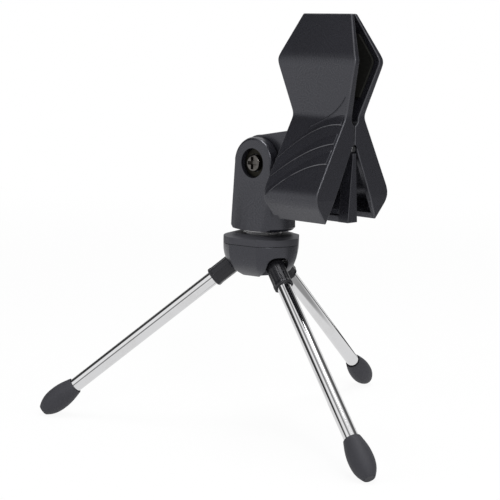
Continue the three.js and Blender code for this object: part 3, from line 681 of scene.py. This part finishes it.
foot = {
    "from": 86.4 * mm,
    "length": 17.1 * mm,
    "radius": 4.8 * mm,
    "neck": 3.4 * mm,
    "tip": 2.2 * mm,
    "fullness": 2.6,
    "widest": 8.3 * mm,
    "steps": 22,
    "rim": 0.25 * mm,
    "mouth": ((0.12, 1.5), (0.12, 0.3), (0.35, 0.02)),  # mm out from the tube, and in from the foot's end
    "nose": ((0.02, -0.3), (-0.3, -0.04), (-0.7, 0)),  # mm out from the tip's radius, and along from its end
}


def makeFoot(look, tubeRadius):
    start, widest, length = look["from"], look["widest"], look["length"]

    def radiusAt(along):
        if along < widest:
            return look["neck"] + (look["radius"] - look["neck"]) * math.sin(math.pi / 2 * along / widest)
        past = (along - widest) / (length - widest)
        return look["radius"] - (look["radius"] - look["tip"]) * past ** look["fullness"]

    profile = [(tubeRadius + out * mm, start + inward * mm) for out, inward in look["mouth"]]
    profile += [(look["neck"] - look["rim"], start), (look["neck"], start + look["rim"])]
    for i in range(1, look["steps"]):
        along = length * (1 - math.cos(math.pi * i / look["steps"])) / 2
        profile.append((radiusAt(along), start + along))
    end = start + length
    profile += [(look["tip"] + out * mm, end + along * mm) for out, along in look["nose"]]
    return smooth(spinLine("legFoot", [*profile, (0, end)], steps=56), angle=50, weighted=False)


collar = {
    "radius": 3.85 * mm,
    "from": 3 * mm,
    "length": 13.6 * mm,
    "flutes": 10,
    "fluteDepth": 0.18 * mm,
    "flutePoints": 10,
    "ring": 1.6 * mm,  # the wider ring at the mouth, its slanted edges and how far it flares and closes
    "ringEdge": 0.25 * mm,
    "ringFlare": 1.035,
    "ringClose": 0.94,
    "ballInset": 0.3 * mm,
    "ballSteps": 10,
    "ballOverlap": 1 * mm,
    "boreGap": 0.15 * mm,
    "boreFloor": 0.3 * mm,
    "boreTo": 20 * mm,
    "pinGap": 0.3 * mm,
}


def makeCollar(look, tubeLook, pinRadius):
    radius, start, length, edge = (look[key] for key in ("radius", "from", "length", "ringEdge"))
    turns = look["flutes"] * look["flutePoints"]
    ring = []
    for i in range(turns):
        angle = 2 * math.pi * i / turns
        here = radius - look["fluteDepth"] * (0.5 - 0.5 * math.cos(look["flutes"] * angle))
        ring.append((here * math.cos(angle), here * math.sin(angle), start))
    sleeve = pullOut(drawLine("collarSleeve", ring), (0, 0, length - start))
    editWhere(sleeve, lambda vertex: vertex.co.z > (start + length) / 2)
    bpy.ops.transform.translate(value=(0, 0, -look["ring"]))
    bpy.ops.mesh.select_mode(type="VERT")
    bpy.ops.mesh.extrude_region_move(TRANSFORM_OT_translate={"value": (0, 0, edge)})
    bpy.ops.transform.resize(value=(look["ringFlare"], look["ringFlare"], 1))
    bpy.ops.mesh.extrude_region_move(TRANSFORM_OT_translate={"value": (0, 0, look["ring"] - 2 * edge)})
    bpy.ops.mesh.extrude_region_move(TRANSFORM_OT_translate={"value": (0, 0, edge)})
    bpy.ops.transform.resize(value=(look["ringClose"], look["ringClose"], 1))
    bpy.ops.object.mode_set(mode="OBJECT")
    plain, steps = radius - look["ballInset"], look["ballSteps"]
    quarter = [math.pi / 2 * i / steps for i in range(steps + 1)]
    end = [(plain * math.sin(turn), -plain * math.cos(turn)) for turn in quarter]
    lid = start + look["ballOverlap"]
    piece = cutWith(sleeve, spinLine("collarBall", [*end, (plain, lid), (0, lid)], steps=48), "UNION")
    bore, boreFrom = tubeLook["radius"] + look["boreGap"], tubeLook["from"] - look["boreFloor"]
    cutWith(piece, rodAlong("bore", bore, (0, 0, boreFrom), (0, 0, look["boreTo"]), vertices=48))
    across = 2 * radius
    cutWith(piece, rodAlong("pinHole", pinRadius + look["pinGap"], (0, -across, 0), (0, across, 0)))
    return smooth(piece, angle=28)


legPin = {"radius": 1.1 * mm, "half": 6 * mm, "lip": 0.15 * mm}


def makeLegPin(look):
    pin = chamferedRod("legPin", look["radius"], look["half"], look["lip"], steps=32)
    return smooth(place(pin, Matrix.Rotation(math.pi / 2, 4, "X")), angle=40)


def makeLegs(look):
    sleeve = makeCollar(collar, tube, legPin["radius"])
    # what to make three of: name, solid, first one, finish, slot, and whether it moves with the leg
    made = (
        ("legTube", "leg_tube", makeTube(tube), legChrome, "chrome", True),
        ("legFoot", "leg_foot", makeFoot(foot, tube["radius"]), footRubber, "foot_rubber", True),
        ("legCollar", "leg_collar", sleeve, glossyCollar, "black_plastic", True),
        ("legPin", "leg_pin", makeLegPin(legPin), turnedSteel, "steel", False),
    )
    for name, node, first, finish, slot, moves in made:
        for number, azimuth in enumerate(look["azimuths"], 1):
            piece = place(twinOf(first, f"{name}{number}"), legMatrix(look, azimuth))
            dress(piece, finish, f"leg_{number}" if moves else "hub", slot, f"{node}_{number}")
        bpy.data.objects.remove(first)


makeLegs(legs)
print("legs made")


hub = {"edge": 0.13 * mm}


def makeHub(look):
    # the cap gets the paler copy, painted light against the shade under the yoke
    for node, name, finish in (("hub_body", "hubBody", charcoalMoulding), ("hub_cap", "hubCap", capPaintedLight)):
        shell = softenEdges(copyOfSolid(node, name), look["edge"], segments=2, angle=24)
        dress(smooth(shell, angle=30), finish, "hub", "charcoal_plastic", node)


makeHub(hub)

stud = {
    "radius": 7.7 * mm,
    "core": 7.2 * mm,
    "flange": 9.4 * mm,
    "from": 74.405 * mm,
    "flangeTop": 76.205 * mm,
    "top": 85.005 * mm,
    "bore": 2.3 * mm,
    "boreTop": 80.105 * mm,
    "lip": 0.2 * mm,
    "pitch": 0.94 * mm,
    "plain": 0.6 * mm,  # without thread at both ends
    "ridge": (0.4, 0.55, 0.95),  # shares of the pitch where a ridge is full, where it ends, and its foot
    "chamfer": (0.5 * mm, 0.4 * mm),
}


def makeStud(look):
    # the thread is drawn as close ridges round the stud
    core, full, flange, lip, pitch = (look[key] for key in ("core", "radius", "flange", "lip", "pitch"))
    low, step, top = look["from"], look["flangeTop"], look["top"]
    bore, boreTop = look["bore"], look["boreTop"]
    profile = [(0, boreTop), (bore, boreTop), (bore, low), (flange - lip, low), (flange, low + lip),
               (flange, step - lip), (flange - lip, step), (core, step)]
    rise, fall, end = look["ridge"]
    height = step + look["plain"]
    while height + pitch < top - look["plain"]:
        profile += [(core, height), (full, height + pitch * rise), (full, height + pitch * fall),
                    (core, height + pitch * end)]
        height += pitch
    across, along = look["chamfer"]
    profile += [(core, top - along), (core - across, top), (0, top)]
    made = smooth(spinLine("threadedStud", profile, steps=64), angle=30)
    dress(made, turnedSteel, "hub", "steel", "threaded_stud")


makeStud(stud)

hubScrew = {
    "head": 3 * mm,
    "radius": 2 * mm,
    "from": 61.705 * mm,
    "under": 63.505 * mm,
    "to": 79.505 * mm,
    "dome": ((-0.7, 0.05), (-0.2, 0.4), (0, 0.9)),  # mm out from the head's rim, and up from its face
    "chamfer": 0.4 * mm,
    "cross": (1.98, 1.05, 1.35),  # mm: reach, width and depth
}


def crossCut(screw, face, cross):
    # a cross recess from two blades, cut in from a face that looks down Z
    reach, width, depth = (value * mm for value in cross)
    for x, y in ((width / 2, reach), (reach, width / 2)):
        cutWith(screw, blockBetween("blade", (-x, -y, face - mm), (x, y, face + depth)))
    return screw


def makeHubScrew(look):
    head, shank, face, end, chamfer = (look[key] for key in ("head", "radius", "from", "to", "chamfer"))
    screw = spinLine("hubScrew", [
        (0, face), *((head + out * mm, face + up * mm) for out, up in look["dome"]), (head, look["under"]),
        (shank, look["under"]), (shank, end - chamfer), (shank - chamfer, end), (0, end),
    ], steps=40)
    crossCut(screw, face, look["cross"])
    dress(smooth(screw, angle=30), turnedSteel, "hub", "steel", "hub_screw")


makeHubScrew(hubScrew)
print("hub made")


tiltHeight = 106.105 * mm
clipForward = 32.6 * mm
yoke = {"edge": 0.25 * mm}


def makeYoke(look):
    body = softenEdges(copyOfSolid("yoke", "yokeBody"), look["edge"], segments=2, angle=30)
    dress(smooth(body, angle=26), charcoalMoulding, "head", "charcoal_plastic", "yoke")
    insert = copyOfSolid("yoke_insert", "yokeInsert")
    dress(smooth(insert, angle=35), turnedSteel, "head", "steel", "yoke_insert")


makeYoke(yoke)

tiltScrew = {
    "head": 3.3 * mm,
    "flat": 2.3 * mm,
    "dome": 0.6 * mm,
    "domeSteps": 8,
    "radius": 2 * mm,
    "face": -7.1 * mm,
    "under": -4.7 * mm,
    "end": 7.1 * mm,
    "chamfer": 0.3 * mm,
    "cross": (2.45, 1.45, 1.6),
}
# a thin ring on the counterbore floor round the screw's head, a sheet of painted shade
shadeRing = {"inner": 3.5 * mm, "outer": 5.6 * mm, "thickness": 0.45 * mm, "lip": 0.12 * mm}
nut = {"edge": 0.18 * mm}


def onTiltAxis(piece):
    return place(piece, Matrix.Translation((0, 0, tiltHeight)) @ Matrix.Rotation(math.pi / 2, 4, "Y"))


def makeTiltScrew(look):
    head, flat, shank, face, under, end, chamfer = (
        look[key] for key in ("head", "flat", "radius", "face", "under", "end", "chamfer"))
    turns = [math.pi / 2 * i / look["domeSteps"] for i in range(look["domeSteps"] + 1)]
    rise = look["dome"]
    dome = [(flat + (head - flat) * math.sin(turn), face + rise * (1 - math.cos(turn))) for turn in turns]
    screw = spinLine("tiltScrew", [
        (0, face), *dome, (head, under), (shank, under),
        (shank, end - chamfer), (shank - chamfer, end), (0, end),
    ], steps=48)
    crossCut(screw, face, look["cross"])
    dress(smooth(onTiltAxis(screw), angle=35), blackenedSteel, "head", "dark_steel", "tilt_screw")


def makeShadeRing(look, seat):
    # a thin black ring laid round the screw's head on the counterbore floor, painted shade that darkens the
    # recess
    inner, outer, lip = look["inner"], look["outer"], look["lip"]
    top = seat - look["thickness"]
    ring = spinLine("paintedShadeRing", [
        (inner, seat), (outer, seat), (outer, top + lip),
        (outer - lip, top), (inner + lip, top), (inner, top + lip),
    ], steps=48, closed=True)
    dress(smooth(onTiltAxis(ring), angle=35), shadeRingBlack, "head", "dark_steel")


def makeNut(look):
    piece = softenEdges(copyOfSolid("tilt_nut", "tiltNut"), look["edge"], segments=2, angle=40)
    dress(smooth(piece, angle=30), turnedSteel, "head", "steel", "tilt_nut")


makeTiltScrew(tiltScrew)
makeShadeRing(shadeRing, tiltScrew["under"])
makeNut(nut)
print("yoke made")


sides = (("left", -1), ("right", 1))


def inClip(x, forward, height):
    # mm across, forward from the clip's own middle, and up from the tilt axis
    return (x * mm, -clipForward - forward * mm, tiltHeight + height * mm)


jaws = {
    "top": (1.7, 58.4),
    "bulge": (8.7, 41.2),
    "waist": (5.3, 20.3),
    "hip": (22.3, -10.2),
    "foot": (14.6, -19.3),
    "bulgeRound": 12,
    "waistRound": 6,
    "hipRound": 7,
    "depths": {"topFront": 11.2, "topRear": 12.6, "bulge": 19.4, "waist": 13.2, "hip": 13.3, "foot": 12.6},
    "depthRounds": {"bulge": 4, "waist": 9, "hip": 5},
    "wall": 2.4,
    "bulgeWall": 2.6,
    "handleWall": 2,
    "roomFoot": (15, -16.9),
    "roomRise": 0.6,  # above the knuckles
    "webHalf": 2.3,
    "webOverlap": 1,
    "seam": 0.15,
    "mouthPoint": 16.7,
    "mouthFoot": 18.2,
    "mouthHalf": 1.8,
    "pinHeight": 8.2,
    "pinRadius": 1.3,
    "pinGap": 0.3,
    "knuckleRadius": 3.2,
    "knuckles": {"left": (8.9, 11.0), "right": (6.5, 8.6)},
    "gapAngle": 25.6,
    "frontGap": 1.3,
    "rearGap": 3.1,
    "gateTop": 15.3,
    "gateBelow": 3,  # under the foot
    "gateNotch": 1,
    "edge": 0.42,
    "steps": 9,
    "past": 1,  # how far a cutting outline runs on above and below
    "across": 50,  # half the width of a cutting outline
}


def handleEdge(look, gap, height):
    angle = math.radians(look["gapAngle"])
    return gap / math.cos(angle) + (look["pinHeight"] - height) * math.tan(angle)


def clipOutline(name, points, sign, low, high):
    # an outline seen from the front, pulled from one forward distance to another
    return pullOut(drawLine(name, [inClip(sign * x, low, y) for x, y in points]), (0, (low - high) * mm, 0))


def sideOutline(name, points, reach):
    # an outline seen from the side, pulled across
    drawn = drawLine(name, [inClip(-reach, forward, height) for forward, height in points])
    return pullOut(drawn, (2 * reach * mm, 0, 0))


def jawSide(look, inset=0):
    depth, rounds = look["depths"], look["depthRounds"]

    def half(end):
        bends = [(depth[key] - inset, look[key][1], rounds[key]) for key in ("hip", "waist", "bulge")]
        top = depth[end] - inset
        return rounded([(depth["foot"] - inset, look["foot"][1] - look["past"]), *bends,
                        (top, look["top"][1]), (top, look["top"][1] + look["past"])], look["steps"])

    return [*half("topFront"), *[(-point.x, point.y) for point in reversed(half("topRear"))]]


def mouthLine(look):
    return [(look["mouthHalf"], look["mouthFoot"] + look["mouthHalf"]),
            (look["bulge"][0] - look["bulgeWall"], look["bulge"][1], look["bulgeRound"] - look["wall"]),
            (look["seam"], look["top"][1])]


def outerLine(look):
    bends = [(*look[key], look[f"{key}Round"]) for key in ("bulge", "waist", "hip")]
    return rounded([look["top"], *bends, look["foot"]], look["steps"])


def makeJaw(look, side, sign):
    wall, knuckle, pin, seam = (look[key] for key in ("handleWall", "knuckleRadius", "pinHeight", "seam"))
    footTop = look["foot"][1] + wall
    gap = look["frontGap"]
    edge = [(handleEdge(look, gap, footTop), footTop), (handleEdge(look, gap, pin), pin), (seam, pin + gap),
            (seam, look["mouthPoint"]), (look["mouthHalf"], look["mouthFoot"])]
    reach = 2 * look["depths"]["bulge"]
    points = [*outerLine(look), *edge, *rounded(mouthLine(look), look["steps"])]
    jaw = clipOutline(f"{side}Jaw", points, sign, -reach, reach)
    cutWith(jaw, sideOutline("jawSides", jawSide(look), look["across"]), "INTERSECT")
    # the rounded rims take the paler edge tone, a painted highlight along them with some wear
    softenEdges(jaw, look["edge"] * mm, segments=3, angle=38, finishes=facesWithWornHighlitEdges)
    # hollow behind the handle
    hip, waist = look["hip"], look["waist"]
    rise = (hip[0] - waist[0]) / (waist[1] - hip[1])

    def inside(height):
        return waist[0] + (waist[1] - height) * rise - wall * math.hypot(1, rise)

    roof = knuckle + pin + look["roomRise"]
    bend = [(inside(roof), roof), (inside(hip[1]), hip[1], look["hipRound"] - wall), look["roomFoot"]]
    room = [(-2 * knuckle, roof), *rounded(bend, look["steps"]), (-2 * knuckle, look["roomFoot"][1])]
    wallBack = look["depths"]["hip"] - wall
    cutWith(jaw, clipOutline("handleRoom", room, sign, -wallBack, wallBack))
    gap, low, high = look["rearGap"], footTop - look["gateBelow"], look["gateTop"]
    gate = [(-gap, high), (gap, high), (gap, pin), (handleEdge(look, gap, low), low), (-gap, low)]
    cutWith(jaw, clipOutline("tongueGate", gate, sign, -reach, look["gateNotch"] - wallBack))
    # knuckles round the pin, each on its web
    start, end = look["knuckles"][side]
    foot, top = pin - look["webHalf"], pin + look["webHalf"]
    over = look["webOverlap"]
    for near, far in ((start, end), (-end, -start)):
        web = [(0, foot), (inside(foot) + over, foot), (inside(top) + over, top), (0, top)]
        cutWith(jaw, clipOutline("web", web, sign, near, far), "UNION")
        barrel = rodAlong("barrel", knuckle * mm, inClip(0, near, pin), inClip(0, far, pin), vertices=48)
        cutWith(jaw, barrel, "UNION")
    hole = (look["pinRadius"] + look["pinGap"]) * mm
    return cutWith(jaw, rodAlong("pinHole", hole, inClip(0, -reach, pin), inClip(0, reach, pin), vertices=40))


# each band: heights of its upper and lower edge in front and behind, and how far the edge bows up between
bands = {
    "front": 11.9,
    "rear": -12.5,
    "edges": (
        ((21.5, 4.6, 2.8), (17.2, 3.6, 3.7)),
        ((14.2, -2.3, 3.0), (10.3, -3.2, 2.4)),
        ((8.2, -8.0, 2.0), (3.0, -10.4, 2.9)),
    ),
    "height": 0.5,
    "taper": 0.45,  # share of the height lost towards the rear
    "start": (0.03, 0.3),  # the step at the upper edge: share of the band's width and of its height
    "lip": 0.2,
    "lipShare": 0.05,  # of the band's width
    "run": 0.4,  # the slope at its front end
    "under": 0.04,
    "runUnder": 0.02,
    "sunk": 0.3,
    "rows": 5,
    "steps": 22,
}


def onOuterFace(line, sign, forward, height, lift):
    # a point of the jaw's outer face, lifted off it
    for above, below in zip(line, line[1:]):
        if above.y >= height >= below.y:
            run = below - above
            x = above.x + run.x * (height - above.y) / run.y
            out = Vector((-run.y, run.x)).normalized()
            return inClip(sign * (x + out.x * lift), forward, height + out.y * lift)
    raise ValueError("height off the jaw")


def nearly(point):
    return tuple(round(value / mm, 2) for value in point)


def makeBand(look, jaw, sign, edges):
    # a tapered band that rises towards its lower edge
    line = outerLine(jaw)
    front, lip, under = look["front"], look["lip"], look["under"]

    def edgeHeight(edge, t):
        first, last, bow = edge
        return first * (1 - t) ** 2 + ((first + last) / 2 + 2 * bow) * 2 * t * (1 - t) + last * t * t

    # (share of the width, share of the height) of each row, and last the foot below the lip
    step = look["start"][1]
    slope = [k / look["rows"] for k in range(1, look["rows"])]
    levels = [(0, 0), look["start"], *((share, step + (1 - step) * share) for share in slope),
              (1 - look["lipShare"], 1), (1, 1 - lip / look["height"]), (1, None)]
    rows, highlitRows = [], (set(), set())
    for number, (share, rise) in enumerate(levels):
        row = []
        for k in range(-1, look["steps"] + 1):
            t = max(k, 0) / look["steps"]
            upper, lower = (edgeHeight(edge, t) for edge in edges)
            forward = front + (look["rear"] - front) * t + lip
            peak = look["height"] * (1 - look["taper"] * t)
            lift = -look["sunk"] if rise is None else -under + (peak + under) * rise
            if k < 0:
                forward, lift = front + look["run"], min(lift, 0) - look["runUnder"]
            row.append(onOuterFace(line, sign, forward, upper + (lower - upper) * share, lift))
        # the step under the upper edge and the rounded lip get the pale tone, a painted highlight line
        if number in (0, 1):
            highlitRows[0].update(nearly(point) for point in row)
        elif number in (len(levels) - 3, len(levels) - 2):
            highlitRows[1].update(nearly(point) for point in row)
        rows.append(drawLine("bandRow", row, False))
        bpy.ops.object.mode_set(mode="OBJECT")
    band = joinPieces(rows, "gripBand")
    editWhole(band)
    bpy.ops.mesh.bridge_edge_loops(type="CLOSED")
    bpy.ops.mesh.select_all(action="SELECT")
    bpy.ops.mesh.fill_holes(sides=0)
    closeEdit()
    giveFinishes(band, (charcoalMoulding, lipHighlightAndWear))
    for face in band.data.polygons:
        corners = {nearly(band.data.vertices[i].co) for i in face.vertices}
        face.material_index = int(len(corners) == 4 and any(corners <= row for row in highlitRows))
    return smooth(band, angle=40, weighted=False)


# the first band's upper edge runs on over the waist as a fine groove
groove = {"bend": ((13.6, 27.9), (10.4, 22.6), (3, 19), (-3, 16)), "radius": 0.28, "lift": -0.06, "steps": 22}


def cutGroove(look, jaw, solid, sign):
    line = outerLine(jaw)
    bend = [Vector(point) for point in look["bend"]]
    points = []
    for k in range(look["steps"] + 1):
        t = k / look["steps"]
        shares = ((1 - t) ** 3, 3 * t * (1 - t) ** 2, 3 * t * t * (1 - t), t ** 3)
        spot = sum((point * share for point, share in zip(bend, shares)), Vector((0, 0)))
        points.append(onOuterFace(line, sign, spot.x, spot.y, look["lift"]))
    return cutWith(solid, wireOf(drawLine("groove", points, False), look["radius"] * mm))


def makeJaws(look):
    for side, sign in sides:
        jaw = smooth(cutGroove(groove, look, makeJaw(look, side, sign), sign), angle=34)
        strips = [makeBand(bands, look, sign, edges) for edges in bands["edges"]]
        jaw = joinPieces([jaw, *strips], f"{side}Jaw")
        dress(jaw, charcoalMoulding, f"jaw_{side}", "charcoal_plastic", f"jaw_{side}")


makeJaws(jaws)
print("jaws made")

pads = {"thickness": 1.2, "gap": 0.15, "top": 51, "foot": 27.5, "inset": 2.4, "edge": 0.25}


def makePad(look, jaw, side, sign):
    # a bent strip laid on the jaw's inner face
    foot, bend, top = mouthLine(jaw)

    def between(first, second, height):
        return first[0] + (second[0] - first[0]) * (height - first[1]) / (second[1] - first[1])

    def strip(inset):
        return rounded([(between(foot, bend, look["foot"]) - inset, look["foot"]),
                        (bend[0] - inset, bend[1], bend[2] - inset),
                        (between(bend, top, look["top"]) - inset, look["top"])], jaw["steps"])

    points = [*strip(look["gap"]), *reversed(strip(look["gap"] + look["thickness"]))]
    reach = 2 * jaw["depths"]["bulge"]
    pad = clipOutline(f"{side}Pad", points, sign, -reach, reach)
    cutWith(pad, sideOutline("padSides", jawSide(jaw, look["inset"]), jaw["across"]), "INTERSECT")
    softenEdges(pad, look["edge"] * mm, segments=2, angle=40)
    dress(smooth(pad, angle=34), padRubber, f"jaw_{side}", "liner_rubber", f"pad_{side}")


for side, sign in sides:
    makePad(pads, jaws, side, sign)

spine = {"edge": 0.2 * mm}


def makeSpine(look):
    made = copyOfSolid("clip_spine", "clipSpine")
    # its rounded edges take the paler edge tone, a painted highlight with some wear
    softenEdges(made, look["edge"], segments=2, angle=40, finishes=facesWithWornHighlitEdges)
    dress(smooth(made, angle=30), charcoalMoulding, "clip", "charcoal_plastic", "clip_spine")


makeSpine(spine)

jawPin = {"radius": 1.3 * mm, "half": 12.9 * mm, "lip": 0.3 * mm}


def makeJawPin(look, jaw):
    pin = chamferedRod("jawPin", look["radius"], look["half"], look["lip"], steps=40)
    place(pin, Matrix.Translation(inClip(0, 0, jaw["pinHeight"])) @ Matrix.Rotation(math.pi / 2, 4, "X"))
    dress(smooth(pin, angle=40), dullSteel, "clip", "steel", "jaw_pin")


makeJawPin(jawPin, jaws)

spring = {
    "wire": 0.55,
    "turns": 3,
    "pitch": 1.75,
    "radius": 2.35,
    "legReach": 15.4,
    "legDrop": 12.8,
    "legSteps": 8,
    "stepsPerTurn": 28,
    "extraSteps": 4,
    "still": 0.6,  # from the coil's middle to where it starts to wind
    "follows": 0.9,  # share of the half coil past which the wire goes with its handle
}


def makeSpring(look, jaw):
    # one wire in two halves that meet in mid coil, each with half the turns and a straight leg in its handle
    radius, pin = look["radius"], jaw["pinHeight"]
    far = math.hypot(look["legReach"], look["legDrop"])
    start = -math.atan2(look["legDrop"], look["legReach"]) + math.acos(radius / far)
    turn = math.pi * look["turns"] + math.pi / 2 - start
    leg = math.sqrt(far * far - radius * radius)
    half = look["pitch"] * turn / (2 * math.pi)
    steps, count = look["legSteps"], look["stepsPerTurn"] * look["turns"] // 2 + look["extraSteps"]
    # (angle, distance out along the leg, distance from the coil's middle) of each point
    points = [(start, (steps - k) / steps * leg, half) for k in range(steps)]
    points += [(start + turn * k / count, 0, half * (1 - k / count)) for k in range(count + 1)]
    for side, sign in sides:
        places = []
        for angle, straight, back in points:
            x = radius * math.cos(angle) + math.sin(angle) * straight
            height = radius * math.sin(angle) - math.cos(angle) * straight + pin
            places.append(inClip(sign * x, -sign * back, height))
        wire = named(wireOf(drawLine("jawSpring", places, False), look["wire"] * mm), f"{side}JawSpring")
        smooth(wire, angle=60, weighted=False)
        giveFinishes(wire, [turnedSteel])
        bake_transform(wire)
        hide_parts("jaw_spring")


makeSpring(spring, jaws)
print("clip made")


deselectAll()
